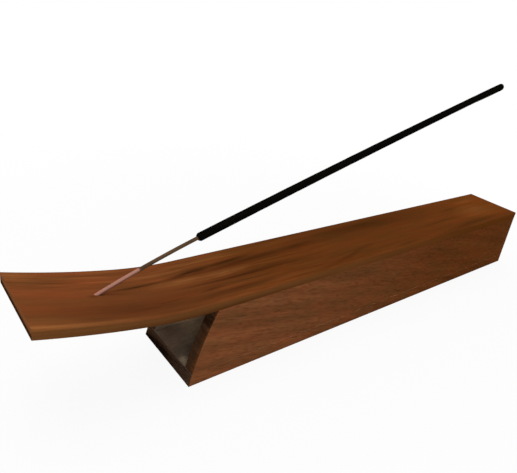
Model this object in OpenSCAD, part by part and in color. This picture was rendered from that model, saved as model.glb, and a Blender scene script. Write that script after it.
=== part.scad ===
// Wooden incense stick holder: a long hollow stand of thin boards under a plank whose front end
// sweeps up as a tongue. One stick leans back over the plank from a slanted hole in the tongue.
// The origin is on the floor, in the middle of the holder's length and width. The tongue points
// to -X and +Z is up. All sizes are in millimetres and all angles in degrees.

/* [Top plank] */
// Straight stretch of the plank, from the rear end to the bend
plank_flat_l = 226.7; // [160:0.1:320]
// Width of the plank
plank_w = 32; // [26:0.5:60]
// Thickness of the plank
plank_t = 4; // [3.2:0.1:6]
// Radius of the first bend of the tongue, on its top face
bend_r = 158; // [120:1:400]
// Angle of the first bend
bend_deg = 9.5; // [6:0.1:14]
// Radius of the easier curve that runs out to the tip, on its top face
tip_r = 345; // [260:1:900]
// Angle of that curve
tip_deg = 6; // [3:0.1:8]
// Width of the eased long edges of the plank's top face
top_arris = 0.8; // [0.2:0.05:1]

/* [Base] */
// Length of the base along the floor
base_l = 235.5; // [180:0.1:300]
// Height of the plank's top face above the floor, behind the bend
base_h = 34.3; // [24:0.1:60]
// How far each side wall leans out from the plank's edge down to the floor
wall_lean = 1.35; // [0:0.05:5]
// Thickness of each side wall
wall_t = 5; // [2.5:0.1:6]
// Thickness of the floor board
floor_t = 5; // [2.5:0.1:6]
// Thickness of the rear end board
end_t = 5; // [2.5:0.1:8]
// How far the front of the base leans back from plumb where it meets the floor
front_lean_deg = 10.9; // [4:0.1:20]
// Radius of the front's curve, which leans it further back towards the plank
front_r = 116; // [90:1:300]
// Width of the small bevels along the glue seams
seam_arris = 0.25; // [0.1:0.05:0.6]

/* [Stick hole] */
// Distance from the tip of the plank back to the stick's foot, along the floor
foot_from_tip = 24.9; // [15:0.1:30]
// Slope of the hole above the floor
hole_deg = 23.6; // [18:0.2:30]
// Depth of the hole along its slope, from the plank's top face
hole_depth = 4.5; // [3:0.1:4.8]
// Clearance all round the stick in its hole
hole_clearance = 0.05; // [0.02:0.01:0.1]
// How much wider than the hole its flared mouth is, all round
mouth_flare = 0.2; // [0.1:0.05:0.8]
// How far down the hole the flare reaches
mouth_depth = 0.8; // [0.6:0.1:1.5]

/* [Incense stick] */
// Diameter of the bamboo core
bamboo_d = 1.4; // [1.2:0.05:1.8]
// Bare bamboo between the plank and the incense
bare_l = 39.7; // [25:0.1:60]
// Length of the incense along the core
incense_l = 190; // [120:0.5:220]
// Diameter of the incense
incense_d = 3.3; // [2.2:0.1:4]
// How far the bare bamboo has sagged under its load, as the turn of its axis
bare_droop_deg = 5.9; // [1:0.1:10]
// How far the coated stretch has sagged, as the turn of its axis
incense_droop_deg = 1.5; // [0.4:0.1:3]

/* [Hidden] */

// Overrun of every cut past the face that it leaves, and of a bend past the plane that ends it
over = 2;
over_deg = 1;
// How far each stretch of the plank laps into the next one ahead of it
lap = 0.05;
// Gap between the stick's lower end and the bottom of its hole
seat_gap = 0.1;
// Length and width of the shoulder at the incense's lower end
shoulder_l = 0.8;
shoulder_step = 0.35;
// Incense over the upper end of the core
tip_cover = 2;
// How much slimmer the domed tip is than the incense, and how far its centre is set back
dome_step = 0.03;
dome_set = 0.3;
// Facets of a whole small circle, of the whole circle of the front's curve, and of one swept bend
round_fn = 48;
front_fn = 480;
bend_steps = 16;

// The plank in side view. The bends' centres are above it, and its tip is cut plumb.
bend_all_deg = bend_deg + tip_deg;
tongue_l = bend_r * sin(bend_deg) + tip_r * (sin(bend_all_deg) - sin(bend_deg));
overall_l = plank_flat_l + tongue_l;
rear_x = overall_l / 2;
bend_x = rear_x - plank_flat_l;
join_x = bend_x - bend_r * sin(bend_deg);
tip_x = bend_x - tongue_l;
bend_centre = [bend_x, base_h + bend_r];
tip_centre = bend_centre + (tip_r - bend_r) * [sin(bend_deg), cos(bend_deg)];

// The base in side view and in cross-section
front_x = rear_x - base_l;
front_reach = front_r * cos(front_lean_deg);
front_centre = [front_x + front_reach, -front_r * sin(front_lean_deg)];
wall_top = base_h - plank_t;
foot_w = plank_w + 2 * wall_lean;

// The stick in side view. It lies along the hole's axis half way down the hole, and sags evenly
// from there to its neck, where the incense starts. The coated stretch sags much less.
foot_x = tip_x + foot_from_tip;
foot = [foot_x, top_z(foot_x)];
hole_r = bamboo_d / 2 + hole_clearance;
bamboo_r = bamboo_d / 2;
incense_r = incense_d / 2;
grip_l = hole_depth / 2;
grip = foot - grip_l * along(hole_deg);
bare_sag_r = sag_radius(grip_l + bare_l, bare_droop_deg);
incense_sag_r = sag_radius(incense_l, incense_droop_deg);
neck_deg = hole_deg - bare_droop_deg;
neck = grip + bare_sag_r * (below(hole_deg) - below(neck_deg));
// Turn of the bare stretch down to its lower end, and of the incense over the core's upper end
bare_turn_deg = bare_droop_deg * (1 + (grip_l - seat_gap) / (grip_l + bare_l));
cover_deg = incense_droop_deg * tip_cover / incense_l;

// Unit steps in side view, along a slope and at a right angle below it
function along(deg) = [cos(deg), sin(deg)];
function below(deg) = [sin(deg), -cos(deg)];

// Radius at which a length turns through an angle
function sag_radius(l, deg) = l / (deg * PI / 180);

// Height of the plank's top face at a place along the tongue
function top_z(x) =
    x > join_x
        ? bend_centre.y - sqrt(pow(bend_r, 2) - pow(x - bend_centre.x, 2))
        : tip_centre.y - sqrt(pow(tip_r, 2) - pow(x - tip_centre.x, 2));

// Half the base's outside and inside width at a height
function outer_y(z) = plank_w / 2 + wall_lean * (wall_top - z) / wall_top;
function inner_y(z) = outer_y(z) - wall_t;

// Long edge of the floor board in cross-section, from the floor up
function floor_edge(side) = [
    [side * (outer_y(0) - seam_arris), 0],
    [side * outer_y(seam_arris), seam_arris],
    [side * outer_y(floor_t - seam_arris), floor_t - seam_arris],
    [side * (outer_y(floor_t) - seam_arris), floor_t]
];

// A list of points in the other order
function reverse(points) = [for (i = [len(points) - 1 : -1 : 0]) points[i]];

// Facets a full circle needs for a bend of this angle to get bend_steps of them
function bend_fn(deg) = bend_steps * 360 / deg;

// Sweeps a section of the plank about a bend's centre, between two slopes of the tongue
module bent(centre, from_deg, to_deg) {
    translate([centre.x, 0, centre.y])
    rotate([90, 0, 0])
    rotate([0, 0, 270 - to_deg])
    rotate_extrude(angle = to_deg - from_deg, $fn = bend_fn(to_deg - from_deg))
    children();
}

// Sweeps a section of the stick, drawn about its axis, up from the origin with its sag towards +X
module sagging(sag_r, from_deg, to_deg) {
    translate([sag_r, 0, 0])
    mirror([1, 0, 0])
    rotate([90, 0, 0])
    rotate([0, 0, from_deg])
    rotate_extrude(angle = to_deg - from_deg, $fn = bend_fn(to_deg - from_deg))
    translate([sag_r, 0])
    children();
}

// Places a round piece, drawn along +Z, on a slope in side view
module on_slope(place, deg) {
    translate([place.x, 0, place.y])
    rotate([0, 90 - deg, 0])
    children();
}

// Extrudes a section drawn in Y and Z along X
module along_x(from_x, to_x) {
    translate([from_x, 0, 0])
    rotate([90, 0, 90])
    linear_extrude(height = to_x - from_x)
    children();
}

// Extrudes a side view drawn in X and Z across the base
module across_y() {
    translate([0, foot_w, 0])
    rotate([90, 0, 0])
    linear_extrude(height = 2 * foot_w)
    children();
}

// Block with everything of the holder behind a plane across it
module behind(x) {
    translate([x, 0, 0])
    translate([0, -foot_w, 0])
    cube([overall_l, 2 * foot_w, overall_l]);
}

// Block with everything of the holder ahead of the same plane
module ahead_of(x) {
    translate([x, 0, 0])
    mirror([1, 0, 0])
    translate([0, -foot_w, 0])
    cube([overall_l, 2 * foot_w, overall_l]);
}

// Cross-section of the plank, top face at the given height, with eased and bevelled long edges.
// The second axis runs up for the straight stretch, and the first one outwards for the bends.
function plank_outline(top, up) = [
    for (p = [
        [plank_w / 2 - top_arris, 0],
        [plank_w / 2, top_arris],
        [plank_w / 2, plank_t - seam_arris],
        [plank_w / 2 - seam_arris, plank_t],
        [seam_arris - plank_w / 2, plank_t],
        [-plank_w / 2, plank_t - seam_arris],
        [-plank_w / 2, top_arris],
        [top_arris - plank_w / 2, 0]
    ]) up ? [p.x, top - p.y] : [top + p.y, p.x]
];

// Side view of the base between two heights, with its curved front and square rear
module base_side(low, high) {
    difference() {
        translate([front_x - over, low])
        square([over + base_l, high - low]);
        difference() {
            translate([front_x - 2 * over, low - over])
            square([2 * over + front_reach, high - low + 2 * over]);
            translate(front_centre)
            circle(r = front_r, $fn = front_fn);
        }
    }
}

module stick_hole() {
    on_slope(foot, hole_deg) {
        translate([0, 0, -hole_depth])
        cylinder(h = hole_depth + over, r = hole_r, $fn = round_fn);
        translate([0, 0, -mouth_depth])
        cylinder(h = mouth_depth + over, r1 = hole_r,
                 r2 = hole_r + mouth_flare * (mouth_depth + over) / mouth_depth, $fn = round_fn);
    }
}

// Plank that the ash falls on, straight over the base and swept up in two curves in front of it
module top_plank() {
    color("#6e3e1d")
    difference() {
        union() {
            along_x(bend_x - lap, rear_x)
            polygon(plank_outline(base_h, true));
            intersection() {
                bent(bend_centre, -over_deg, bend_deg + over_deg)
                polygon(plank_outline(bend_r, false));
                ahead_of(bend_x);
                behind(join_x - lap);
            }
            intersection() {
                bent(tip_centre, bend_deg - over_deg, bend_all_deg + over_deg)
                polygon(plank_outline(tip_r, false));
                ahead_of(join_x);
                behind(tip_x);
            }
        }
        stick_hole();
    }
}

// Wall on the +Y side, which leans in towards the plank
module side_wall() {
    intersection() {
        across_y()
        base_side(floor_t, wall_top);
        along_x(front_x - over, rear_x)
        polygon([
            [inner_y(floor_t), floor_t],
            [outer_y(floor_t) - seam_arris, floor_t],
            [outer_y(floor_t + seam_arris), floor_t + seam_arris],
            [outer_y(wall_top - seam_arris), wall_top - seam_arris],
            [outer_y(wall_top) - seam_arris, wall_top],
            [inner_y(wall_top), wall_top]
        ]);
    }
}

module near_wall() {
    color("#6b472b")
    mirror([0, 1, 0])
    side_wall();
}

module far_wall() {
    color("#6b472b")
    side_wall();
}

// Board that the walls stand on, with its long edges bevelled flush with them
module floor_board() {
    color("#65432a")
    intersection() {
        across_y()
        base_side(0, floor_t);
        along_x(front_x - over, rear_x)
        polygon(concat(floor_edge(1), reverse(floor_edge(-1))));
    }
}

// Board let in flush between the walls, which closes the rear end of the store
module rear_end_board() {
    color("#5c3a22")
    along_x(rear_x - end_t, rear_x)
    polygon([
        [-inner_y(floor_t), floor_t], [inner_y(floor_t), floor_t],
        [inner_y(wall_top), wall_top], [-inner_y(wall_top), wall_top]
    ]);
}

// Split bamboo that runs from the bottom of the hole up through the incense
module bamboo_core() {
    color("#8a6242")
    on_slope(neck, neck_deg)
    union() {
        mirror([0, 0, 1])
        sagging(bare_sag_r, 0, bare_turn_deg)
        circle(r = bamboo_r, $fn = round_fn);
        sagging(incense_sag_r, 0, incense_droop_deg - cover_deg)
        circle(r = bamboo_r, $fn = round_fn);
    }
}

// Charcoal incense rolled on the core, with a blunt shoulder below and a domed tip
module incense_coating() {
    color("#16130f")
    on_slope(neck, neck_deg)
    difference() {
        union() {
            mirror([0, 0, 1])
            cylinder(h = shoulder_l, r1 = incense_r, r2 = bamboo_r + shoulder_step, $fn = round_fn);
            sagging(incense_sag_r, 0, incense_droop_deg)
            circle(r = incense_r, $fn = round_fn);
            translate([incense_sag_r, 0, 0])
            rotate([0, incense_droop_deg, 0])
            translate([-incense_sag_r, 0, -dome_set])
            sphere(r = incense_r - dome_step, $fn = round_fn);
        }
        sagging(incense_sag_r, -cover_deg, incense_droop_deg - cover_deg)
        circle(r = bamboo_r, $fn = round_fn);
    }
}

top_plank();
near_wall();
far_wall();
floor_board();
rear_end_board();
bamboo_core();
incense_coating();
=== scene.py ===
"""Looks of a wooden incense stick holder: a hollow stand with an upswept tongue, and one stick in it."""

import math

import bmesh
import bpy
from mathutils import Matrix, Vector


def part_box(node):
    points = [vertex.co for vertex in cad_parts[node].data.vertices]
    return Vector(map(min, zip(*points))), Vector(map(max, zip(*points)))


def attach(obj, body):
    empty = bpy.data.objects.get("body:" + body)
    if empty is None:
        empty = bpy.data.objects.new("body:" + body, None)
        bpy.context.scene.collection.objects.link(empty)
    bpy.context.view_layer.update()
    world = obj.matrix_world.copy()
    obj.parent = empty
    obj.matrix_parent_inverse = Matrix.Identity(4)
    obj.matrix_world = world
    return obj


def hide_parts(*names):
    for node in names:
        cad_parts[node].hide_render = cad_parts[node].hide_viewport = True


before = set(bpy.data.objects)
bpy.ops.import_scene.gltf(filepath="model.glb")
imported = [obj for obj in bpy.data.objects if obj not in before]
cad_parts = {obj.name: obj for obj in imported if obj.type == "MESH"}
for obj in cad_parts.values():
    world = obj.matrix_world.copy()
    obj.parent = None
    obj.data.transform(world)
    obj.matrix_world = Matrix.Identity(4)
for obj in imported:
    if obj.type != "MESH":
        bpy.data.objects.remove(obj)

bl_info = {
    "name": "Incense stick holder",
    "version": (1, 0, 0),
    "blender": (4, 5, 0),
    "location": "3D View > Sidebar > Incense",
    "description": "Builds a wooden incense stick holder with one stick in it",
    "category": "Add Mesh",
}

REAR_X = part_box("top_plank")[1].x
FOOT_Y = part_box("floor_board")[1].y
MM = 0.001
# Points closer than this are taken as one
TOUCH = 0.001 * MM
# Edges that turn by more than this are sharp
SHARP = math.radians(30)


def linear(hex_colour):
    """Linear red, green and blue of an sRGB colour written as hex."""
    parts = [int(hex_colour[i : i + 2], 16) / 255 for i in (1, 3, 5)]
    return [p / 12.92 if p <= 0.04045 else ((p + 0.055) / 1.055) ** 2.4 for p in parts]


def length(name, description, default):
    """A size in metres for a group of properties."""
    return bpy.props.FloatProperty(
        name=name, description=description, default=default, min=0.0, subtype="DISTANCE", unit="LENGTH"
    )


def slope(name, description, degrees):
    """An angle for a group of properties."""
    return bpy.props.FloatProperty(
        name=name, description=description, default=math.radians(degrees), subtype="ANGLE", unit="ROTATION"
    )


def colour(name, description, hex_colour):
    """A colour for a group of properties."""
    return bpy.props.FloatVectorProperty(
        name=name, description=description, default=(*linear(hex_colour), 1.0), size=4, min=0.0, max=1.0,
        subtype="COLOR",
    )


class StandSizes(bpy.types.PropertyGroup):
    """Sizes of the wooden stand."""

    flat_l: length("Straight plank", "Straight stretch of the plank behind the bend", 0.2267)
    plank_w: length("Plank width", "Width of the plank", 0.032)
    plank_t: length("Plank thickness", "Thickness of the plank", 0.004)
    bend_r: length("Bend radius", "Radius of the first bend, on the top face", 0.158)
    bend_a: slope("Bend angle", "Angle of the first bend", 9.5)
    tip_r: length("Tip radius", "Radius of the easier curve out to the tip, on the top face", 0.345)
    tip_a: slope("Tip angle", "Angle of that curve", 6.0)
    base_l: length("Base length", "Length of the base on the floor", 0.2355)
    base_h: length("Base height", "Height of the plank's top face behind the bend", 0.0343)
    wall_t: length("Wall thickness", "Thickness of each side wall", 0.005)
    wall_lean: length("Wall lean", "How far each wall leans out down to the floor", 0.00135)
    floor_t: length("Floor thickness", "Thickness of the floor board", 0.005)
    end_t: length("End thickness", "Thickness of the rear end board", 0.005)
    front_a: slope("Front slant", "How far the front leans back from plumb at the floor", 10.9)
    front_r: length("Front radius", "Radius of the front's curve", 0.116)
    arris: length("Arris", "Rounding of the plank's long top edges", 0.0008)
    edge_round: length("Edge rounding", "Rounding of the other edges", 0.0001)
    seam_round: length("Seam rounding", "Rounding of the base's edges, which are sanded flush", 0.00006)


class StickSizes(bpy.types.PropertyGroup):
    """Sizes of the stick and its hole."""

    foot_from_tip: length("Foot from tip", "Level distance from the plank's tip to the stick's foot", 0.0249)
    hole_a: slope("Hole slope", "Slope of the hole above the floor", 23.6)
    hole_l: length("Hole depth", "Depth of the hole along its slope", 0.0045)
    hole_r: length("Hole radius", "Radius of the hole", 0.00075)
    mouth_r: length("Mouth radius", "Radius of the hole's eased mouth", 0.00095)
    mouth_l: length("Mouth depth", "How far down the hole the easing reaches", 0.0008)
    seat_gap: length("Seat gap", "Gap between the stick and the bottom of its hole", 0.0001)
    bamboo_r: length("Bamboo radius", "Radius of the bamboo core", 0.0007)
    bare_l: length("Bare length", "Bare bamboo above the plank", 0.0397)
    dyed_l: length("Dyed length", "Dyed part of the bare bamboo above the plank", 0.0155)
    incense_l: length("Incense length", "Length of the incense along the core", 0.19)
    incense_r: length("Incense radius", "Radius of the incense", 0.00162)
    shoulder_l: length("Shoulder length", "Length of the shoulder below the incense", 0.0008)
    cover_l: length("Tip cover", "Incense over the upper end of the core", 0.002)
    bare_droop: slope("Bare sag", "Turn of the bare bamboo's axis as it sags", 5.9)
    incense_droop: slope("Incense sag", "Turn of the coated stretch's axis as it sags", 1.5)


class Finishes(bpy.types.PropertyGroup):
    """Colours of the woods, the stick and the floor."""

    plank_pale: colour("Plank, tongue", "Paler, more orange wood of the tongue", "#7c4524")
    plank_mid: colour("Plank, body", "Main colour of the plank", "#673817")
    plank_rear: colour("Plank, rear end", "Redder wood at the rear end", "#733d17")
    # plank_dark also paints shade along the lower edges of the plank's sides and end grain, and darkens the
    # far top edge
    plank_dark: colour("Plank, growth lines", "Dark growth lines of the plank", "#331b09")
    # Also a painted highlight along the tongue's near top edge
    plank_worn_and_highlight: colour("Plank, worn arris", "Rubbed arris of the tongue", "#9c6436")
    # The plank's long sides are a copy of its top colour, painted darker as shade
    side_shade_front: colour("Plank side, tongue", "Duller wood of the tongue's long sides", "#6a4222")
    side_shade_rear: colour("Plank side, rear", "Darker wood of the plank's long sides behind", "#5c3211")
    plank_end: colour("Plank, end grain", "End grain of the plank", "#80502f")
    wall_front: colour("Walls, front", "Paler wood at the front of the side boards", "#75472a")
    wall_rear: colour("Walls, rear", "Darker wood of the side boards behind", "#613618")
    wall_pore: colour("Walls, pores", "Oil dark pores of the side boards", "#32190b")
    end_grain: colour("End grain", "Oil dark end grain of the side boards", "#422c1d")
    end_rubbed: colour("End grain, rubbed", "Rubbed outer part of that end grain", "#5c381f")
    # Painted light: the floor board's front edge is lightened where the tongue shades it
    end_lightened: colour("End grain, dusty", "Dusty front edge of the floor board", "#6f5442")
    inside: colour("Inside", "Unoiled inside faces of the base, at the front", "#6f5f4f")
    # Painted light: paler deep inside, to lift the shade there
    inside_deep_lightened: colour("Inside, deep", "Paler unoiled wood deep inside the base", "#cdb698")
    bamboo: colour("Bamboo", "Bare bamboo", "#60462d")
    bamboo_dark: colour("Bamboo fibres", "Darker fibres of the bamboo", "#402f20")
    dye: colour("Foot dye", "Dyed foot of the bamboo", "#ad7969")
    incense: colour("Incense", "Charcoal incense", "#090806")
    incense_dust: colour("Incense dust", "Paler grains on the incense", "#1c1912")
    floor: colour("Floor", "Studio floor", "#f4f4f4")


class Layout:
    """Places that follow from the sizes, in metres and in the frame of the holder."""

    def __init__(self, scene):
        stand, stick = scene.stand_sizes, scene.stick_sizes
        self.stand, self.stick = stand, stick
        self.bend_x = REAR_X - stand.flat_l
        self.bend_centre = Vector((self.bend_x, 0.0, stand.base_h + stand.bend_r))
        self.tip_centre = self.bend_centre - (stand.tip_r - stand.bend_r) * below(stand.bend_a, -1)
        self.join_x = self.bend_x - stand.bend_r * math.sin(stand.bend_a)
        self.tip_x = self.tip_centre.x - stand.tip_r * math.sin(stand.bend_a + stand.tip_a)
        self.half_w = stand.plank_w / 2

        self.front_x = REAR_X - stand.base_l
        self.wall_top = stand.base_h - stand.plank_t
        self.front_centre = Vector((self.front_x, 0.0, 0.0)) + stand.front_r * along(-stand.front_a)

        self.foot = Vector((self.tip_x + stick.foot_from_tip, 0.0, 0.0))
        self.foot.z = self.top_z(self.foot.x)
        self.neck_a = stick.hole_a - stick.bare_droop
        grip_l = stick.hole_l / 2
        self.bare_sag_r = (grip_l + stick.bare_l) / stick.bare_droop
        self.incense_sag_r = stick.incense_l / stick.incense_droop
        grip = self.foot - grip_l * along(stick.hole_a)
        self.neck = grip + self.bare_sag_r * (below(stick.hole_a) - below(self.neck_a))
        self.bare_turn = stick.bare_droop * (1 + (grip_l - stick.seat_gap) / (grip_l + stick.bare_l))

    def top_z(self, x):
        """Height of the plank's top face at a place along the tongue."""
        centre, radius = self.bend_centre, self.stand.bend_r
        if x < self.join_x:
            centre, radius = self.tip_centre, self.stand.tip_r
        return centre.z - math.sqrt(radius**2 - (x - centre.x) ** 2)

    def plank_place(self, point):
        """Run along the plank from its rear end, place across it, and depth below its top face."""
        stand = self.stand
        if point.x > self.bend_x:
            return REAR_X - point.x, point.y, stand.base_h - point.z
        run, centre, radius, start = stand.flat_l, self.bend_centre, stand.bend_r, 0.0
        if turn(point, centre) > stand.bend_a:
            run, start = run + radius * stand.bend_a, stand.bend_a
            centre, radius = self.tip_centre, stand.tip_r
        out = point - centre
        return run + radius * (turn(point, centre) - start), point.y, math.hypot(out.x, out.z) - radius

    def wall_plane(self, side, inset=0.0):
        """A point and the outward normal of a wall's face, on the +Y or -Y side."""
        lean = self.stand.wall_lean
        point = Vector((0.0, side * (self.half_w + lean - inset), 0.0))
        return point, Vector((0.0, side * self.wall_top, lean)).normalized()

    def front_planes(self, low, high, steps):
        """Planes of saw cuts that follow the front's curve between two heights."""
        centre, radius = self.front_centre, self.stand.front_r
        start, end = (math.asin((z - centre.z) / radius) for z in (low, high))
        planes = []
        for i in range(steps):
            middle = start + (end - start) * (i + 0.5) / steps
            flat = math.cos((end - start) / steps / 2)
            normal = Vector((-math.cos(middle), 0.0, math.sin(middle)))
            planes.append((centre + radius * flat * normal, normal))
        return planes


def along(angle):
    """Unit step up a slope in side view."""
    return Vector((math.cos(angle), 0.0, math.sin(angle)))


def below(angle, facing=1):
    """Unit step square to a slope, on its lower side. The slope climbs to +X, or to -X if facing is -1."""
    return Vector((facing * math.sin(angle), 0.0, -math.cos(angle)))


def turn(point, centre):
    """Angle of a point about a bend's centre, from straight below it towards the tongue's tip."""
    return math.atan2(centre.x - point.x, centre.z - point.z)


# Modelling


def block(name, low, high):
    """A block between two corners, with its place in its mesh."""
    bpy.ops.object.select_all(action="DESELECT")
    low, high = Vector(low), Vector(high)
    bpy.ops.mesh.primitive_cube_add(size=1, location=(low + high) / 2, scale=high - low)
    bpy.ops.object.transform_apply(location=True, rotation=True, scale=True)
    piece = bpy.context.object
    piece.name = piece.data.name = name
    return piece


def pick(piece, kind, test):
    """In edit mode, selects the faces or edges that a test accepts."""
    bpy.ops.mesh.select_mode(type=kind)
    bpy.ops.mesh.select_all(action="DESELECT")
    mesh = bmesh.from_edit_mesh(piece.data)
    for item in mesh.faces if kind == "FACE" else mesh.edges:
        if test(item):
            item.select_set(True)
    mesh.select_flush_mode()
    bmesh.update_edit_mesh(piece.data)


def cut(planes):
    """In edit mode, saws off all that lies outside each plane."""
    for point, normal in planes:
        bpy.ops.mesh.select_all(action="SELECT")
        bpy.ops.mesh.bisect(plane_co=point, plane_no=normal, use_fill=True, clear_outer=True)


def close_up():
    """In edit mode, merges doubles and turns the faces outwards."""
    bpy.ops.mesh.select_all(action="SELECT")
    bpy.ops.mesh.remove_doubles(threshold=TOUCH)
    bpy.ops.mesh.normals_make_consistent(inside=False)


def apply_modifier(piece, kind, **settings):
    """Adds a modifier with its settings and applies it."""
    bpy.context.view_layer.objects.active = piece
    modifier = piece.modifiers.new(kind.title(), kind)
    for key, value in settings.items():
        setattr(modifier, key, value)
    bpy.ops.object.modifier_apply(modifier=modifier.name)


def select_only(piece):
    """Selects one piece and makes it the active one."""
    bpy.ops.object.select_all(action="DESELECT")
    piece.select_set(True)
    bpy.context.view_layer.objects.active = piece


def smooth(piece, degrees=40):
    """Smooth shading that keeps large faces flat beside their rounded edges."""
    select_only(piece)
    bpy.ops.object.shade_smooth_by_angle(angle=math.radians(degrees))
    apply_modifier(piece, "WEIGHTED_NORMAL", keep_sharp=True, weight=80)


def store_place(piece, place):
    """Stores on each point of a piece where it lies in the grain."""
    layer = piece.data.attributes.new("grain_place", "FLOAT_VECTOR", "POINT")
    for vertex, item in zip(piece.data.vertices, layer.data):
        item.vector = place(vertex.co)


def dress(piece, body, slot, node, *materials):
    """Gives a finished piece its materials and body, and hides its CAD node. The slot is not used."""
    for material in materials:
        piece.data.materials.append(material)
    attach(piece, body)
    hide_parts(node)


# Materials. Every piece carries the attribute grain_place, in metres: the run along its grain, the place
# across it, and the depth below the plank's face, the height on a board, or the place from side to side
# on the stick. A MapRange takes its value as i0, reads from i1 to i2 and gives from i3 to i4, which are
# 0 and 1 unless they are set. A Mix of colours goes from i6 to i7 by the share i0.


def add_node(material, kind, settings=None, out=0, **inputs):
    """Adds a shader node with its settings and its inputs, and returns one of its outputs, if it has any.

    An input is named by its label, or by its number after an i, and is a value or another node's output.
    """
    tree = material.node_tree
    node = tree.nodes.new("ShaderNode" + kind)
    for key, value in (settings or {}).items():
        setattr(node, key, value)
    for key, value in inputs.items():
        socket = node.inputs[int(key[1:])] if key[1:].isdigit() else node.inputs[key.replace("_", " ")]
        if isinstance(value, bpy.types.NodeSocket):
            tree.links.new(value, socket)
        else:
            socket.default_value = value[:3] if socket.type == "VECTOR" else value
    return node.outputs[out] if node.outputs else None


MULTIPLY = {"operation": "MULTIPLY"}
ADD = {"operation": "ADD"}
SUBTRACT = {"operation": "SUBTRACT"}
MAXIMUM = {"operation": "MAXIMUM"}
ABSOLUTE = {"operation": "ABSOLUTE"}
SCALE = {"operation": "SCALE"}
SMOOTH = {"interpolation_type": "SMOOTHSTEP"}
COLOURS = {"data_type": "RGBA"}
# Nearly all of a noise lies in this range
NOISE = {"i1": 0.3, "i2": 0.7}


def new_material(name):
    """An empty procedural material."""
    material = bpy.data.materials.new(name)
    material.use_nodes = True
    material.node_tree.nodes.clear()
    return material


def grain_place(material):
    """The stored place of a point in the grain."""
    return add_node(material, "Attribute", {"attribute_name": "grain_place"}, out=1)


def grain(material, place, size, detail=2.0, rough=0.5, shift=0.0):
    """Noise drawn out along the grain, with blotches of a size in millimetres along, across and into it."""
    scale = [1 / (blotch * MM) for blotch in size]
    mapped = add_node(material, "Mapping", Vector=place, Location=(shift, shift, shift), Scale=scale)
    return add_node(material, "TexNoise", Vector=mapped, Scale=1.0, Detail=detail, Roughness=rough)


def patches(material, place, table):
    """Share of the long soft patches of a table at a place in the grain."""
    total = 0.0
    for run, across, tilt, half_l, half_w, strength in table:
        mapped = add_node(
            material, "Mapping", {"vector_type": "TEXTURE"}, Vector=place,
            Location=(run * MM, across * MM, 0.0), Rotation=(0.0, 0.0, math.radians(tilt)),
            Scale=(half_l * MM, half_w * MM, 1.0),
        )
        share = add_node(material, "TexGradient", {"gradient_type": "SPHERICAL"}, out=1, Vector=mapped)
        scaled = add_node(material, "Math", MULTIPLY, i0=share, i1=strength)
        total = add_node(material, "Math", MAXIMUM, i0=scaled, i1=total)
    return total


def finish(material, colour_out, rough_out, relief, depth, specular=0.0):
    """Shader, bump and output. Depth is the real depth of the relief in millimetres.

    The soaked or dry surfaces of this holder have no sheen, so specular stays at 0 but for the bamboo.
    """
    bump = add_node(material, "Bump", Height=relief, Distance=depth * MM, Strength=1.0)
    shader = add_node(
        material, "BsdfPrincipled", Base_Color=colour_out, Roughness=rough_out, Normal=bump, IOR=1.45,
        Specular_IOR_Level=specular,
    )
    add_node(material, "OutputMaterial", Surface=shader)
    return material


# Patches in the grain. Each row has the run and the place across of a patch's middle in millimetres, its
# tilt in degrees, half its length and half its width in millimetres, and its strength.

# Growth lines and darker bands of the plank's top, most of them listed from the tongue to the rear end
GROWTH_LINES = (
    (276, 7.9, 5.5, 14, 0.8, 0.50),
    (265.5, -1.5, 0.0, 2.5, 1.3, 0.45),
    (254, -10.5, 0.0, 46, 10.0, 0.62),
    (248.5, 2.1, -6.2, 17, 1.1, 0.95),
    (226, 5.0, -8.3, 16, 1.7, 1.15),
    (222, 5.2, -6.0, 9, 2.3, 1.00),
    (224, 3.7, -3.0, 5, 0.7, 0.60),
    (206, 7.2, -5.7, 20, 2.0, 0.90),
    (196, 4.4, 0.0, 36, 3.4, 0.85),
    (206, -3.9, 0.7, 40, 1.3, 0.90),
    (243, -9.3, -3.7, 25, 1.5, 0.70),
    (224, -8.1, -4.0, 9, 1.5, 0.75),
    (228, -12.6, -2.0, 44, 3.6, 0.52),
    (170, 5.4, -4.3, 28, 3.0, 0.70),
    (152, -11.2, -9.3, 28, 1.9, 0.45),
    (118, 9.0, 0.0, 70, 8.0, 0.62),
    (95, 9.8, 3.0, 14, 4.5, 0.35),
    (112, -14.3, -3.0, 14, 1.2, 0.40),
    (52, -13.2, -3.6, 42, 3.6, 0.50),
    (70, -4.2, 1.0, 30, 1.2, 0.30),
    (46, 4.0, -4.0, 12, 2.0, 0.30),
)
# Paler streaks and worn places between them
PALE_STREAKS = (
    (272, 11.3, 2.0, 16, 1.3, 0.30),
    (284, -14.0, 0.0, 14, 2.5, 0.30),
    (286, 12.0, 0.0, 11, 5.0, 0.45),
    (232, 0.6, -1.0, 15, 2.0, 0.55),
    (214, 0.3, 0.0, 16, 2.6, 0.50),
    (240, 7.5, -4.0, 22, 2.0, 0.30),
    (222, 11.0, -2.0, 26, 2.4, 0.30),
    (192, -12.5, 0.0, 24, 2.0, 0.20),
    (28, -3.0, 0.0, 24, 8.0, 0.25),
    (20, 9.0, -3.0, 18, 3.0, 0.20),
)
# Pools of painted light just inside the front of the base
FRONT_LIGHT_POOLS = ((232.5, -9.9, 0.0, 3.0, 4.2, 0.85),)
# Where the plank's grain is quiet: the near half of the tongue, and the rear
CALM_WOOD = (
    (262, -6.0, 0.0, 52, 12.0, 1.0),
    (40, 0.0, 0.0, 175, 60, 0.9),
)


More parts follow.
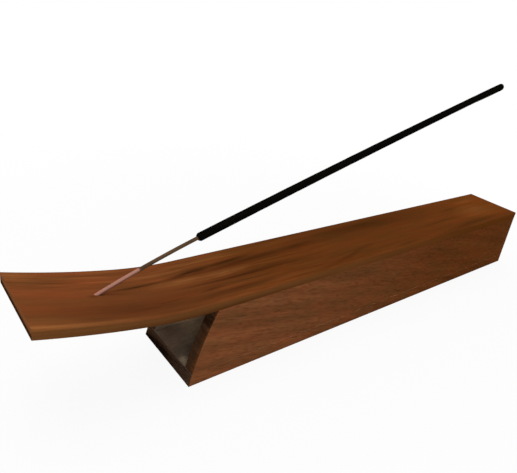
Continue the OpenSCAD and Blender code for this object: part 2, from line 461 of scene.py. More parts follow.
def oiled_acacia(finishes):
    """Oiled acacia, planed and sanded: warm brown, with soft growth lines that follow the plank's bend.

    The oil has soaked in, so the wood has its full depth of colour and no sheen.
    """
    wood = new_material("oiled_acacia")
    place = grain_place(wood)
    # The grain wanders by up to 2 mm over the length of the plank
    drift = grain(wood, place, (60, 18, 18), detail=1.0)
    wander = add_node(wood, "MapRange", i0=drift, i3=-2 * MM, i4=2 * MM)
    sideways = add_node(wood, "CombineXYZ", Y=wander)
    wandered = add_node(wood, "VectorMath", ADD, i0=place, i1=sideways)
    bands = grain(wood, wandered, (55, 2.6, 2.6), detail=3.0)
    fine = grain(wood, wandered, (18, 0.8, 0.8), detail=3.0, rough=0.6)
    fibres = grain(wood, wandered, (7, 0.3, 0.3), rough=0.6, shift=3.0)
    clouds = grain(wood, wandered, (26, 5, 5), shift=11.0)

    run, across, depth = (add_node(wood, "SeparateXYZ", out=i, Vector=place) for i in range(3))
    tongue = add_node(wood, "MapRange", SMOOTH, i0=run, i1=185 * MM, i2=258 * MM)
    body = add_node(wood, "Mix", COLOURS, out=2, i0=tongue, i6=finishes.plank_mid, i7=finishes.plank_pale)
    behind = add_node(wood, "MapRange", SMOOTH, i0=run, i1=75 * MM, i2=12 * MM)
    inboard = add_node(wood, "MapRange", SMOOTH, i0=across, i1=-15 * MM, i2=-8 * MM)
    rear = add_node(wood, "Math", MULTIPLY, i0=behind, i1=inboard)
    body = add_node(wood, "Mix", COLOURS, out=2, i0=rear, i6=body, i7=finishes.plank_rear)

    feather = add_node(wood, "MapRange", i0=fine, i1=0.25, i2=0.75, i3=0.5, i4=1.25)
    lines = add_node(wood, "Math", MULTIPLY, i0=patches(wood, wandered, GROWTH_LINES), i1=feather)
    lined = add_node(wood, "Mix", COLOURS, out=2, i0=lines, i6=body, i7=finishes.plank_dark)
    streaks = add_node(wood, "Math", MULTIPLY, i0=patches(wood, wandered, PALE_STREAKS), i1=feather)
    top = add_node(wood, "Mix", COLOURS, out=2, i0=streaks, i6=lined, i7=finishes.plank_worn_and_highlight)

    # Redder and more olive clouds
    ruddy = add_node(wood, "MapRange", i0=clouds, **NOISE, i3=0.89, i4=1.11)
    hue = add_node(wood, "CombineXYZ", X=ruddy, Y=1.0, Z=1.0)
    top = add_node(wood, "VectorMath", MULTIPLY, i0=top, i1=hue)
    # Darker along the far top edge
    far_edge_dark = add_node(wood, "MapRange", SMOOTH, i0=across, i1=14.7 * MM, i2=15.9 * MM, i4=0.6)
    top = add_node(wood, "Mix", COLOURS, out=2, i0=far_edge_dark, i6=top, i7=finishes.plank_dark)

    # Painted shade makes the long sides darker than the top from just below its edge, and a painted highlight
    # lightens the tongue's near top edge
    edge = add_node(wood, "Math", ABSOLUTE, i0=across)
    at_side = add_node(wood, "MapRange", SMOOTH, i0=edge, i1=15.5 * MM, i2=15.95 * MM)
    under_arris = add_node(wood, "MapRange", SMOOTH, i0=depth, i1=0.2 * MM, i2=1.5 * MM)
    side = add_node(wood, "Math", MULTIPLY, i0=at_side, i1=under_arris)
    forward = add_node(wood, "MapRange", SMOOTH, i0=run, i1=20 * MM, i2=250 * MM)
    side_body = add_node(
        wood, "Mix", COLOURS, out=2, i0=forward, i6=finishes.side_shade_rear, i7=finishes.side_shade_front
    )
    sided = add_node(wood, "Mix", COLOURS, out=2, i0=side, i6=top, i7=side_body)
    # Painted highlight along the tongue's near top edge, strongest towards the tip
    highlit = add_node(wood, "MapRange", SMOOTH, i0=across, i1=-14.4 * MM, i2=-15.7 * MM)
    on_arris = add_node(wood, "MapRange", SMOOTH, i0=depth, i1=1.4 * MM, i2=0.4 * MM)
    brighter = add_node(wood, "MapRange", SMOOTH, i0=run, i1=228 * MM, i2=303 * MM, i3=0.04, i4=0.65)
    off_rear = add_node(wood, "MapRange", SMOOTH, i0=run, i1=40 * MM, i2=150 * MM)
    for share in (on_arris, brighter, off_rear, feather):
        highlit = add_node(wood, "Math", MULTIPLY, i0=highlit, i1=share)
    edged = add_node(wood, "Mix", COLOURS, out=2, i0=highlit, i6=sided, i7=finishes.plank_worn_and_highlight)
    # Painted shade darkens the lower edge of the sides over the open front, and fades out towards the tip
    low_side_shade = add_node(wood, "MapRange", SMOOTH, i0=depth, i1=1.4 * MM, i2=4.0 * MM)
    over_front = add_node(wood, "MapRange", SMOOTH, i0=run, i1=150 * MM, i2=225 * MM, i4=0.6)
    shade_off_at_tip = add_node(wood, "MapRange", SMOOTH, i0=run, i1=285 * MM, i2=225 * MM, i3=0.1)
    for share in (over_front, shade_off_at_tip):
        low_side_shade = add_node(wood, "Math", MULTIPLY, i0=low_side_shade, i1=share)
    whole = add_node(wood, "Mix", COLOURS, out=2, i0=low_side_shade, i6=edged, i7=finishes.plank_dark)

    band_shade = add_node(wood, "MapRange", i0=bands, **NOISE, i3=0.74, i4=1.24)
    fine_shade = add_node(wood, "MapRange", i0=fine, **NOISE, i3=0.82, i4=1.18)
    fibre_shade = add_node(wood, "MapRange", i0=fibres, **NOISE, i3=0.92, i4=1.08)
    shade = add_node(wood, "Math", MULTIPLY, i0=band_shade, i1=fine_shade)
    shade = add_node(wood, "Math", MULTIPLY, i0=shade, i1=fibre_shade)
    # The near half of the tongue and the sides have quieter grain
    quiet = add_node(wood, "Math", MAXIMUM, i0=patches(wood, place, CALM_WOOD), i1=side)
    quiet = add_node(wood, "MapRange", i0=quiet, i2=0.4, i4=0.65)
    shade = add_node(wood, "Mix", i0=quiet, i2=shade, i3=1.0)
    tint = add_node(wood, "VectorMath", SCALE, i0=whole, Scale=shade)
    rough = add_node(wood, "MapRange", i0=fine, i3=0.5, i4=0.7)
    return finish(wood, tint, rough, fibres, depth=0.02)


def acacia_end_grain(finishes):
    """Sanded end grain of the plank: duller than its face, with close rings and painted shade along its lower
    edge.
    """
    wood = new_material("acacia_end_grain")
    place = grain_place(wood)
    rings = grain(wood, place, (40, 7, 0.8), detail=3.0)
    dots = grain(wood, place, (40, 0.3, 0.3), rough=0.6)
    depth = add_node(wood, "SeparateXYZ", out=2, Vector=place)
    # Painted shade along the lower edge
    low = add_node(wood, "MapRange", SMOOTH, i0=depth, i1=1.3 * MM, i2=2.7 * MM, i4=0.95)
    body = add_node(wood, "Mix", COLOURS, out=2, i0=low, i6=finishes.plank_end, i7=finishes.plank_dark)
    ring_shade = add_node(wood, "MapRange", i0=rings, **NOISE, i3=0.8, i4=1.2)
    dot_shade = add_node(wood, "MapRange", i0=dots, **NOISE, i3=0.9, i4=1.1)
    shade = add_node(wood, "Math", MULTIPLY, i0=ring_shade, i1=dot_shade)
    tint = add_node(wood, "VectorMath", SCALE, i0=body, Scale=shade)
    return finish(wood, tint, 0.7, dots, depth=0.03)


def side_wood(name, front, rear, span, pore, pore_share, rough, light_pools=()):
    """Open-pored hardwood with short dark pores along the grain.

    Its colour changes from rear to front over a span of the run in millimetres. Pools of painted light in the
    rear colour show only low down, on the floor board.
    """
    wood = new_material(name)
    place = grain_place(wood)
    # The grain isn't quite straight in the board: it falls towards the rear
    tilted = add_node(wood, "Mapping", Vector=place, Rotation=(0.0, math.radians(12), 0.0))
    bands = grain(wood, tilted, (60, 5, 3.6), detail=3.0)
    fine = grain(wood, tilted, (6, 1.0, 0.8), detail=3.0, rough=0.65)
    clouds = grain(wood, tilted, (16, 7, 5), shift=11.0)
    # Pores are 1 to 4 mm long and about 0.2 mm wide, and are drawn 0.5 mm wide so that they show
    pores = grain(wood, tilted, (3.6, 0.5, 0.5), detail=1.0, rough=0.4, shift=7.0)
    flecks = add_node(wood, "MapRange", SMOOTH, i0=pores, i1=0.5, i2=0.72, i4=pore_share)

    run, height = (add_node(wood, "SeparateXYZ", out=i, Vector=place) for i in (0, 2))
    forward = add_node(wood, "MapRange", SMOOTH, i0=run, i1=span[0] * MM, i2=span[1] * MM)
    body = add_node(wood, "Mix", COLOURS, out=2, i0=forward, i6=rear, i7=front)
    on_floor = add_node(wood, "MapRange", SMOOTH, i0=height, i1=7 * MM, i2=5.3 * MM)
    # Pools of painted light
    pooled_light = add_node(wood, "Math", MULTIPLY, i0=patches(wood, place, light_pools), i1=on_floor)
    body = add_node(wood, "Mix", COLOURS, out=2, i0=pooled_light, i6=body, i7=rear)
    band_shade = add_node(wood, "MapRange", i0=bands, **NOISE, i3=0.84, i4=1.2)
    fine_shade = add_node(wood, "MapRange", i0=fine, **NOISE, i3=0.84, i4=1.18)
    shade = add_node(wood, "Math", MULTIPLY, i0=band_shade, i1=fine_shade)
    shaded = add_node(wood, "VectorMath", SCALE, i0=body, Scale=shade)
    ruddy = add_node(wood, "MapRange", i0=clouds, **NOISE, i3=0.91, i4=1.1)
    hue = add_node(wood, "CombineXYZ", X=ruddy, Y=1.0, Z=1.0)
    tint = add_node(wood, "VectorMath", MULTIPLY, i0=shaded, i1=hue)
    pored = add_node(wood, "Mix", COLOURS, out=2, i0=flecks, i6=tint, i7=pore)
    relief = add_node(wood, "Math", SUBTRACT, i0=fine, i1=flecks)
    return finish(wood, pored, rough, relief, depth=0.04)


def oiled_mahogany(finishes):
    """Oiled mahogany, planed: reddish brown and matt, with fine dark pore flecks."""
    return side_wood(
        "oiled_mahogany", finishes.wall_front, finishes.wall_rear, span=(50, 225), pore=finishes.wall_pore,
        pore_share=0.3, rough=0.65,
    )


def bare_mahogany(finishes):
    """The same wood left bare inside the base: grey brown, dry and matt, painted paler deeper in and with a
    pool of painted light at the front.
    """
    return side_wood(
        "bare_mahogany", finishes.inside, finishes.inside_deep_lightened, span=(211, 229), pore=finishes.wall_pore,
        pore_share=0.15, rough=0.85, light_pools=FRONT_LIGHT_POOLS,
    )


def mahogany_end_grain(finishes):
    """Sawn end grain, which soaks up the oil: near black brown with faint rings and open pores."""
    wood = new_material("mahogany_end_grain")
    place = grain_place(wood)
    rings = grain(wood, place, (40, 6, 0.9))
    dots = grain(wood, place, (40, 0.35, 0.35), detail=1.0, rough=0.4, shift=2.0)
    holes = add_node(wood, "MapRange", SMOOTH, i0=dots, i1=0.55, i2=0.68, i4=0.6)
    # The oil is rubbed off along the outer corners. Painted light lightens the floor board's front edge, most
    # of it on the near side and at the top
    across, height = (add_node(wood, "SeparateXYZ", out=i, Vector=place) for i in (1, 2))
    edge = add_node(wood, "Math", ABSOLUTE, i0=across)
    outer = add_node(wood, "MapRange", SMOOTH, i0=edge, i1=14.2 * MM, i2=16.8 * MM, i4=0.7)
    lightened = add_node(wood, "MapRange", SMOOTH, i0=height, i1=1.2 * MM, i2=4.8 * MM, i3=0.5)
    low_board = add_node(wood, "MapRange", i0=height, i1=5.2 * MM, i2=5.1 * MM)
    near = add_node(wood, "MapRange", SMOOTH, i0=across, i1=8 * MM, i2=-13 * MM, i3=0.5)
    for share in (low_board, near):
        lightened = add_node(wood, "Math", MULTIPLY, i0=lightened, i1=share)
    body = add_node(wood, "Mix", COLOURS, out=2, i0=outer, i6=finishes.end_grain, i7=finishes.end_rubbed)
    body = add_node(wood, "Mix", COLOURS, out=2, i0=lightened, i6=body, i7=finishes.end_lightened)
    shade = add_node(wood, "MapRange", i0=rings, **NOISE, i3=0.75, i4=1.3)
    tint = add_node(wood, "VectorMath", SCALE, i0=body, Scale=shade)
    dotted = add_node(wood, "Mix", COLOURS, out=2, i0=holes, i6=tint, i7=finishes.wall_pore)
    relief = add_node(wood, "Math", SUBTRACT, i0=rings, i1=holes)
    return finish(wood, dotted, 0.8, relief, depth=0.05)


def split_bamboo(finishes, layout):
    """Split bamboo, dyed at the foot: dull brown fibres, and a chalky pink dye that has soaked in."""
    bamboo = new_material("split_bamboo")
    stick = layout.stick
    place = grain_place(bamboo)
    fibres = grain(bamboo, place, (14, 0.22, 0.22), rough=0.6)
    blotches = grain(bamboo, place, (4.5, 2.5, 2.5), shift=5.0)
    stain = add_node(bamboo, "MapRange", SMOOTH, i0=blotches, i1=0.35, i2=0.68)
    streak = add_node(bamboo, "MapRange", SMOOTH, i0=fibres, i1=0.3, i2=0.65, i3=0.35)
    dark = add_node(bamboo, "Math", MULTIPLY, i0=stain, i1=streak)
    body = add_node(bamboo, "Mix", COLOURS, out=2, i0=dark, i6=finishes.bamboo, i7=finishes.bamboo_dark)

    # The dye ends in a ragged edge about half a millimetre deep
    up = add_node(bamboo, "SeparateXYZ", Vector=place)
    ragged = add_node(bamboo, "Math", {"operation": "MULTIPLY_ADD"}, i0=fibres, i1=1.5 * MM, i2=up)
    dye_end = stick.dyed_l - stick.bare_l + 0.75 * MM
    dyed = add_node(bamboo, "MapRange", SMOOTH, i0=ragged, i1=dye_end + 0.2 * MM, i2=dye_end - 0.2 * MM)
    dye_brightness = add_node(bamboo, "MapRange", i0=fibres, **NOISE, i3=0.88, i4=1.1)
    # Painted shade darkens the dye on its under side
    under = add_node(bamboo, "VectorMath", {"operation": "DOT_PRODUCT"}, out=1, i0=place, i1=(0.0, 0.7, -0.7))
    underside_shade = add_node(bamboo, "MapRange", SMOOTH, i0=under, i1=0.1 * MM, i2=0.65 * MM, i3=1.0, i4=0.4)
    dye_brightness = add_node(bamboo, "Math", MULTIPLY, i0=dye_brightness, i1=underside_shade)
    pink = add_node(bamboo, "VectorMath", SCALE, i0=finishes.dye, Scale=dye_brightness)
    tint = add_node(bamboo, "Mix", COLOURS, out=2, i0=dyed, i6=body, i7=pink)
    return finish(bamboo, tint, 0.65, fibres, depth=0.03, specular=0.15)


def charcoal_incense(finishes):
    """Charcoal incense paste, rolled by hand and dried: near black, dry and matt, with a fine grit."""
    paste = new_material("charcoal_incense")
    place = grain_place(paste)
    # Charcoal grit is about 0.1 mm, and is drawn 0.3 mm across so that it shows
    grit = grain(paste, place, (0.3, 0.3, 0.3), rough=0.7)
    smears = grain(paste, place, (9, 0.9, 0.9), rough=0.6, shift=4.0)
    grains = add_node(paste, "MapRange", SMOOTH, i0=grit, i1=0.48, i2=0.72)
    smeared = add_node(paste, "MapRange", SMOOTH, i0=smears, i1=0.35, i2=0.7)
    pale = add_node(paste, "Math", MULTIPLY, i0=grains, i1=smeared)
    body = add_node(paste, "Mix", COLOURS, out=2, i0=pale, i6=finishes.incense, i7=finishes.incense_dust)
    relief = add_node(paste, "Math", ADD, i0=grit, i1=smears)
    return finish(paste, body, 0.85, relief, depth=0.08)


# The stand's pieces


def bore_cutter(layout):
    """A round cutter with the hole's depth and eased mouth, laid along its slope."""
    stick = layout.stick
    straight = stick.hole_l - stick.mouth_l
    bpy.ops.object.select_all(action="DESELECT")
    bpy.ops.mesh.primitive_cylinder_add(
        vertices=48, radius=stick.hole_r, depth=straight, location=(0.0, 0.0, straight / 2 - stick.hole_l)
    )
    cutter = bpy.context.object
    bpy.ops.object.transform_apply(location=True, rotation=True, scale=True)
    bpy.ops.object.mode_set(mode="EDIT")
    pick(cutter, "FACE", lambda face: face.normal.z > 0.9)
    # The mouth's cone runs on to 4 times its depth, as the plank's face meets it at a slant
    run_on = 4
    rise = run_on * stick.mouth_l
    wider = 1 + run_on * (stick.mouth_r - stick.hole_r) / stick.hole_r
    bpy.ops.mesh.extrude_region_move(TRANSFORM_OT_translate={"value": (0.0, 0.0, rise)})
    bpy.ops.transform.resize(value=(wider, wider, 1.0), center_override=(0.0, 0.0, 0.0))
    bpy.ops.object.mode_set(mode="OBJECT")
    cutter.rotation_euler = (0.0, math.pi / 2 - stick.hole_a, 0.0)
    cutter.location = layout.foot
    bpy.ops.object.transform_apply(location=True, rotation=True, scale=True)
    return cutter


class INCENSE_OT_top_plank(bpy.types.Operator):
    """Add the plank with its upswept tongue and the slanted hole for the stick"""

    bl_idname = "incense.top_plank"
    bl_label = "Top plank"

    def execute(self, context):
        layout = Layout(context.scene)
        stand = layout.stand
        low = (layout.bend_x, -layout.half_w, layout.wall_top)
        plank = block("plank_board", low, (REAR_X, layout.half_w, stand.base_h))
        bpy.ops.object.mode_set(mode="EDIT")
        pick(plank, "FACE", lambda face: face.normal.x < -0.9)
        # The tongue runs half a degree past its tip, where it is then sawn off plumb
        tip_turn = stand.tip_a + math.radians(0.5)
        cross = (0.0, 1.0, 0.0)
        bpy.ops.mesh.spin(steps=16, angle=-stand.bend_a, center=layout.bend_centre, axis=cross)
        bpy.ops.mesh.spin(steps=14, angle=-tip_turn, center=layout.tip_centre, axis=cross)
        close_up()
        cut([(Vector((layout.tip_x, 0.0, 0.0)), Vector((-1.0, 0.0, 0.0)))])
        self.weigh_edges(plank, layout)
        bpy.ops.object.mode_set(mode="OBJECT")
        apply_modifier(plank, "BEVEL", width=stand.arris, segments=4, limit_method="WEIGHT")
        cutter = bore_cutter(layout)
        apply_modifier(plank, "BOOLEAN", operation="DIFFERENCE", solver="EXACT", object=cutter)
        bpy.data.objects.remove(cutter)
        smooth(plank)
        store_place(plank, layout.plank_place)
        finishes = context.scene.finishes
        dress(plank, "holder", "plank_wood", "top_plank", oiled_acacia(finishes), acacia_end_grain(finishes))
        for face in plank.data.polygons:
            face.material_index = int(self.at_end(layout, face))
        return {"FINISHED"}

    @staticmethod
    def at_end(layout, face):
        """Whether a face is end grain: it looks forwards or backwards and isn't inside the hole."""
        from_end = min(face.center.x - layout.tip_x, REAR_X - face.center.x)
        return abs(face.normal.x) > 0.5 and from_end <= 2 * MM

    @staticmethod
    def weigh_edges(plank, layout):
        """Gives the long top edges their full rounding and the other sharp edges a small one."""
        stand = layout.stand
        small = stand.edge_round / stand.arris

        def sharp(edge):
            """Whether the faces beside an edge turn by more than the sharp angle."""
            return edge.calc_face_angle(0.0) > SHARP

        def long_top(edge):
            """Whether a sharp edge lies in the top face and runs along one side."""
            level = all(abs(layout.plank_place(v.co)[2]) < 0.02 * MM for v in edge.verts)
            return sharp(edge) and level and edge.verts[0].co.y * edge.verts[1].co.y > 0

        pick(plank, "EDGE", sharp)
        bpy.ops.transform.edge_bevelweight(value=small)
        pick(plank, "EDGE", long_top)
        bpy.ops.transform.edge_bevelweight(value=1.0 - small)


class INCENSE_OT_base_boards(bpy.types.Operator):
    """Add the two side walls, the floor board and the rear end board"""

    bl_idname = "incense.base_boards"
    bl_label = "Base boards"

    def execute(self, context):
        layout = Layout(context.scene)
        stand, finishes = layout.stand, context.scene.finishes
        # In the order of the numbers that zone gives
        materials = (oiled_mahogany(finishes), bare_mahogany(finishes), mahogany_end_grain(finishes))
        outer = {side: layout.wall_plane(side) for side in (-1, 1)}
        inner = {side: layout.wall_plane(side, stand.wall_t) for side in (-1, 1)}
        back = {side: (point, -normal) for side, (point, normal) in inner.items()}
        half, floor_t, wall_top = FOOT_Y, stand.floor_t, layout.wall_top
        high_front = layout.front_planes(floor_t, wall_top, steps=12)
        low_front = layout.front_planes(0.0, floor_t, steps=3)
        boards = (
            ("near_board", "near_wall", (layout.front_x, -half, floor_t), (REAR_X, 0.0, wall_top),
             [outer[-1], back[-1], *high_front]),
            ("far_board", "far_wall", (layout.front_x, 0.0, floor_t), (REAR_X, half, wall_top),
             [outer[1], back[1], *high_front]),
            ("bottom_board", "floor_board", (layout.front_x, -half, 0.0), (REAR_X, half, floor_t),
             [outer[-1], outer[1], *low_front]),
            ("end_board", "rear_end_board", (REAR_X - stand.end_t, -half, floor_t), (REAR_X, half, wall_top),
             [inner[-1], inner[1]]),
        )
        for name, node, low, high, planes in boards:
            board = block(name, low, high)
            bpy.ops.object.mode_set(mode="EDIT")
            cut(planes)
            bpy.ops.object.mode_set(mode="OBJECT")
            apply_modifier(
                board, "BEVEL", width=stand.seam_round, segments=2, limit_method="ANGLE", angle_limit=SHARP
            )
            smooth(board)
            store_place(board, self.cross_place if node == "rear_end_board" else self.long_place)
            dress(board, "holder", "side_wood", node, *materials)
            for face in board.data.polygons:
                face.material_index = self.zone(node, face)
        return {"FINISHED"}

    @staticmethod
    def long_place(point):
        """Place in a board whose grain runs along the holder."""
        return REAR_X - point.x, point.y, point.z

    @staticmethod
    def cross_place(point):
        """Place in the end board: its grain runs across the holder, and its run keeps to the rear colours."""
        return 30 * MM + point.y, point.x, point.z

    @staticmethod
    def zone(node, face):
        """Number of a face's material: 0 oiled outside, 1 bare inside, or 2 end grain."""
        if node != "rear_end_board" and abs(face.normal.x) > 0.4:
            return 2
        inward = -face.normal.y * math.copysign(1.0, face.center.y)
        inside = {"near_wall": inward, "far_wall": inward, "floor_board": face.normal.z}
        return int(inside.get(node, -face.normal.x) > 0.8)


# The stick's pieces, modelled upright with their neck on the origin, and then laid on their slope


def disc(name, radius, vertices):
    """A round face on the origin, left in edit mode and selected."""
    bpy.ops.object.select_all(action="DESELECT")
    bpy.ops.mesh.primitive_circle_add(vertices=vertices, radius=radius, fill_type="NGON")
    piece = bpy.context.object
    piece.name = piece.data.name = name
    bpy.ops.object.mode_set(mode="EDIT")
    bpy.ops.mesh.select_mode(type="FACE")
    bpy.ops.mesh.select_all(action="SELECT")
    return piece


def grow(sag_r, angle, steps):
    """Carries the selected end face up or down the sagging axis."""
    bpy.ops.mesh.spin(steps=steps, angle=-angle, center=(sag_r, 0.0, 0.0), axis=(0.0, 1.0, 0.0))


def pick_neck(piece):
    """Selects the end face that still lies at the neck."""
    pick(piece, "FACE", lambda face: abs(face.calc_center_median().z) < TOUCH and abs(face.normal.z) > 0.9)


def stick_place(layout):
    """A function from a point of the upright stick to its run above the neck and its place across."""

    def place(point):
        sag_r = layout.incense_sag_r if point.z >= 0.0 else layout.bare_sag_r
        out = point - Vector((sag_r, 0.0, 0.0))
        return sag_r * math.atan2(out.z, -out.x), sag_r - math.hypot(out.x, out.z), point.y

    return place


def lay_on_slope(piece, layout):
    """Lays an upright piece of the stick on its slope at the neck."""
    select_only(piece)
    piece.rotation_euler = (0.0, math.pi / 2 - layout.neck_a, 0.0)
    piece.location = layout.neck
    bpy.ops.object.transform_apply(location=True, rotation=True, scale=True)


class INCENSE_OT_bamboo_core(bpy.types.Operator):
    """Add the split bamboo that carries the incense, with its dyed foot"""

    bl_idname = "incense.bamboo_core"
    bl_label = "Bamboo core"

    def execute(self, context):
        layout = Layout(context.scene)
        stick = layout.stick
        core = disc("bamboo_stick", stick.bamboo_r, vertices=24)
        covered = stick.incense_droop * (1 - stick.cover_l / stick.incense_l)
        grow(layout.incense_sag_r, covered, steps=60)
        pick_neck(core)
        grow(layout.bare_sag_r, -layout.bare_turn, steps=30)
        close_up()
        bpy.ops.object.mode_set(mode="OBJECT")
        store_place(core, stick_place(layout))
        smooth(core)
        lay_on_slope(core, layout)
        dress(core, "incense_stick", "bamboo", "bamboo_core", split_bamboo(context.scene.finishes, layout))
        return {"FINISHED"}


class INCENSE_OT_incense(bpy.types.Operator):
    """Add the incense rolled on the core, with its shoulder and its rounded tip"""

    bl_idname = "incense.incense"
    bl_label = "Incense"

    def execute(self, context):
        layout = Layout(context.scene)
        stick = layout.stick
        roll = disc("incense_roll", stick.incense_r, vertices=28)
        grow(layout.incense_sag_r, stick.incense_droop, steps=150)
        self.round_tip(roll, stick)
        self.swell_tip(roll, stick)
        pick_neck(roll)
        self.draw_shoulder(stick)
        close_up()
        bpy.ops.object.mode_set(mode="OBJECT")
        store_place(roll, stick_place(layout))
        self.roughen(roll)
        smooth(roll, degrees=60)
        lay_on_slope(roll, layout)
        paste = charcoal_incense(context.scene.finishes)
        dress(roll, "incense_stick", "incense_paste", "incense_coating", paste)
        return {"FINISHED"}

    @staticmethod
    def round_tip(roll, stick):
        """Draws the end face in, ring by ring, to a rounded tip that is slightly flattened."""
        rings, last_angle, flatness = 6, math.radians(83), 0.9

        def end_face():
            return next(face for face in bmesh.from_edit_mesh(roll.data).faces if face.select)

        angles = [last_angle * i / rings for i in range(rings + 1)]
        for angle, following in zip(angles, angles[1:]):
            step = end_face().normal * stick.incense_r * (math.sin(following) - math.sin(angle)) * flatness
            bpy.ops.mesh.extrude_region_move(TRANSFORM_OT_translate={"value": step})
            share = math.cos(following) / math.cos(angle)
            centre = end_face().calc_center_median()
            bpy.ops.transform.resize(value=(share, share, share), center_override=centre)

    @staticmethod
    def swell_tip(roll, stick):
        """Thickens the last stretch on its lower side, where the wet paste gathered, and slants the tip.

        The upright stick's lower side is the one towards +X.
        """
        sag = stick.incense_l * stick.incense_droop / 2
        upper_side = Vector((sag - stick.incense_r, 0.0, stick.incense_l))
        pick(roll, "FACE", lambda face: face.calc_center_median().z > stick.incense_l)
        bpy.ops.transform.resize(
            value=(1.1, 1.06, 1.0), center_override=upper_side, use_proportional_edit=True,
            proportional_edit_falloff="SPHERE", proportional_size=24 * MM,
        )
        # With no window the turn goes the other way round
        bpy.ops.transform.rotate(value=math.radians(-14), orient_axis="Y", center_override=upper_side)

    @staticmethod
    def draw_shoulder(stick):
        """Draws the lower end face in towards the bamboo in two steps."""
        for drop_share, shrink in ((0.45, 0.86), (0.55, 0.77)):
            fall = -stick.shoulder_l * drop_share
            bpy.ops.mesh.extrude_region_move(TRANSFORM_OT_translate={"value": (0.0, 0.0, fall)})
            bpy.ops.transform.resize(value=(shrink, shrink, 1.0), center_override=(0.0, 0.0, 0.0))

    @staticmethod
    def roughen(roll):
        """Gives the hand-rolled paste its slight lumps."""
        lumps = bpy.data.textures.new("rolled_lumps", "CLOUDS")
        lumps.noise_scale = 4.5 * MM
        lumps.noise_depth = 2
        apply_modifier(
            roll, "DISPLACE", texture=lumps, texture_coords="LOCAL", strength=0.09 * MM, mid_level=0.68
        )


def seen_directly(material):
    """Whether a ray comes from the camera, from a reflection or through glass."""
    share = 0.0
    camera, glossy, transmitted = 0, 3, 6
    for out in (camera, glossy, transmitted):
        rays = add_node(material, "LightPath", out=out)
        share = add_node(material, "Math", MAXIMUM, i0=rays, i1=share)
    return share


# Each lamp's name, its place and the point that it lights in metres, its width in metres and its watts
LAMPS = (
    ("near_lamp", (-0.62, -0.95, 0.62), (-0.04, 0.0, 0.02), 0.55, 4.2),
    ("top_lamp", (-0.15, 0.15, 1.25), (-0.02, 0.0, 0.03), 0.9, 5.4),
    ("far_lamp", (0.7, 1.0, 0.6), (0.0, 0.0, 0.02), 0.8, 2.0),
)
# The camera's place and view, as solved from the photograph
CAMERA_PLACE = Vector((-0.172336, -0.130061, 0.133255))
CAMERA_LOOK = Vector((0.604873, 0.663946, -0.439664))
CAMERA_ROLL = math.radians(9.63308)
CAMERA_LENS = 34.4136
SENSOR_WIDTH = 36.0


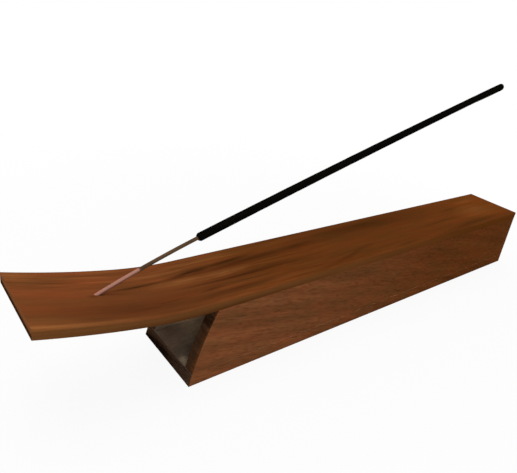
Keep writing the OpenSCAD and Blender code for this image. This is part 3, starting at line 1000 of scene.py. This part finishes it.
class INCENSE_OT_studio(bpy.types.Operator):
    """Add the floor, the lamps, the world and the camera"""

    bl_idname = "incense.studio"
    bl_label = "Studio"

    def execute(self, context):
        scene = context.scene
        scene.view_settings.view_transform = "Standard"
        self.floor(scene.finishes)
        self.world(scene)
        for row in LAMPS:
            self.lamp(*row)
        self.camera(scene)
        return {"FINISHED"}

    @staticmethod
    def floor(finishes):
        """A white floor. It glows to the camera, but for a small share that keeps the holder's shadow.

        That share fades out from 0.12 to 0.3 m from the middle.
        """
        bpy.ops.object.select_all(action="DESELECT")
        bpy.ops.mesh.primitive_circle_add(vertices=96, radius=8.0, fill_type="NGON")
        floor = bpy.context.object
        floor.name = floor.data.name = "studio_floor"
        paint = new_material("matt_white_paint")
        place = add_node(paint, "TexCoord", out=3)
        reach = add_node(paint, "VectorMath", {"operation": "LENGTH"}, out=1, i0=place)
        glow_share = add_node(paint, "MapRange", SMOOTH, i0=reach, i1=0.12, i2=0.3, i3=0.91, i4=1.0)
        share = add_node(paint, "Math", MULTIPLY, i0=seen_directly(paint), i1=glow_share)
        matt = add_node(paint, "BsdfDiffuse", Color=finishes.floor)
        glow = add_node(paint, "Emission", Strength=1.0)
        mix = add_node(paint, "MixShader", i0=share, i1=matt, i2=glow)
        add_node(paint, "OutputMaterial", Surface=mix)
        floor.data.materials.append(paint)

    @staticmethod
    def world(scene):
        """White air to look at, which gives less than half that strength as light."""
        world = scene.world = bpy.data.worlds.new("studio_air")
        world.use_nodes = True
        world.node_tree.nodes.clear()
        strength = add_node(world, "MapRange", i0=seen_directly(world), i3=0.45, i4=1.0)
        air = add_node(world, "Background", Color=(1.0, 1.0, 1.0, 1.0), Strength=strength)
        add_node(world, "OutputWorld", Surface=air)

    @staticmethod
    def lamp(name, place, target, size, power):
        """A round soft lamp that points at a part of the holder."""
        bpy.ops.object.light_add(type="AREA", location=place)
        lamp = bpy.context.object
        lamp.name = name
        lamp.data.shape = "DISK"
        lamp.data.size = size
        lamp.data.energy = power
        lamp.rotation_euler = (Vector(target) - Vector(place)).to_track_quat("-Z", "Y").to_euler()

    @staticmethod
    def camera(scene):
        """Looks down past the tongue from the near side, rolled as in the photograph."""
        bpy.ops.object.camera_add(location=CAMERA_PLACE)
        camera = bpy.context.object
        camera.name = "photo_camera"
        camera.data.sensor_width = SENSOR_WIDTH
        camera.data.lens = CAMERA_LENS
        camera.data.clip_start = 10 * MM
        axes = CAMERA_LOOK.to_track_quat("-Z", "Y").to_matrix()
        right, up = axes.col[0].copy(), axes.col[1].copy()
        axes.col[0] = math.cos(CAMERA_ROLL) * right + math.sin(CAMERA_ROLL) * up
        axes.col[1] = math.cos(CAMERA_ROLL) * up - math.sin(CAMERA_ROLL) * right
        camera.rotation_euler = axes.to_euler()
        scene.camera = camera


class INCENSE_PT_panel(bpy.types.Panel):
    """Lists the holder's pieces and their sizes and colours"""

    bl_idname = "INCENSE_PT_panel"
    bl_label = "Incense stick holder"
    bl_space_type = "VIEW_3D"
    bl_region_type = "UI"
    bl_category = "Incense"

    def draw(self, context):
        for operator in OPERATORS:
            self.layout.operator(operator.bl_idname)
        for name, group in GROUPS.items():
            box = self.layout.box()
            for setting in group.__annotations__:
                box.prop(getattr(context.scene, name), setting)


OPERATORS = (
    INCENSE_OT_top_plank,
    INCENSE_OT_base_boards,
    INCENSE_OT_bamboo_core,
    INCENSE_OT_incense,
    INCENSE_OT_studio,
)
GROUPS = {"stand_sizes": StandSizes, "stick_sizes": StickSizes, "finishes": Finishes}


def register():
    """Registers the groups of properties, the operators and the panel."""
    for item in (*GROUPS.values(), *OPERATORS, INCENSE_PT_panel):
        bpy.utils.register_class(item)
    for name, group in GROUPS.items():
        setattr(bpy.types.Scene, name, bpy.props.PointerProperty(type=group))


def unregister():
    """Takes them away again."""
    for name in GROUPS:
        delattr(bpy.types.Scene, name)
    for item in reversed((*GROUPS.values(), *OPERATORS, INCENSE_PT_panel)):
        bpy.utils.unregister_class(item)


def main():
    """Builds every piece and the studio."""
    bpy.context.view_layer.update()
    register()
    bpy.ops.incense.top_plank()
    bpy.ops.incense.base_boards()
    bpy.ops.incense.bamboo_core()
    bpy.ops.incense.incense()
    bpy.ops.incense.studio()


if __name__ == "__main__":
    main()
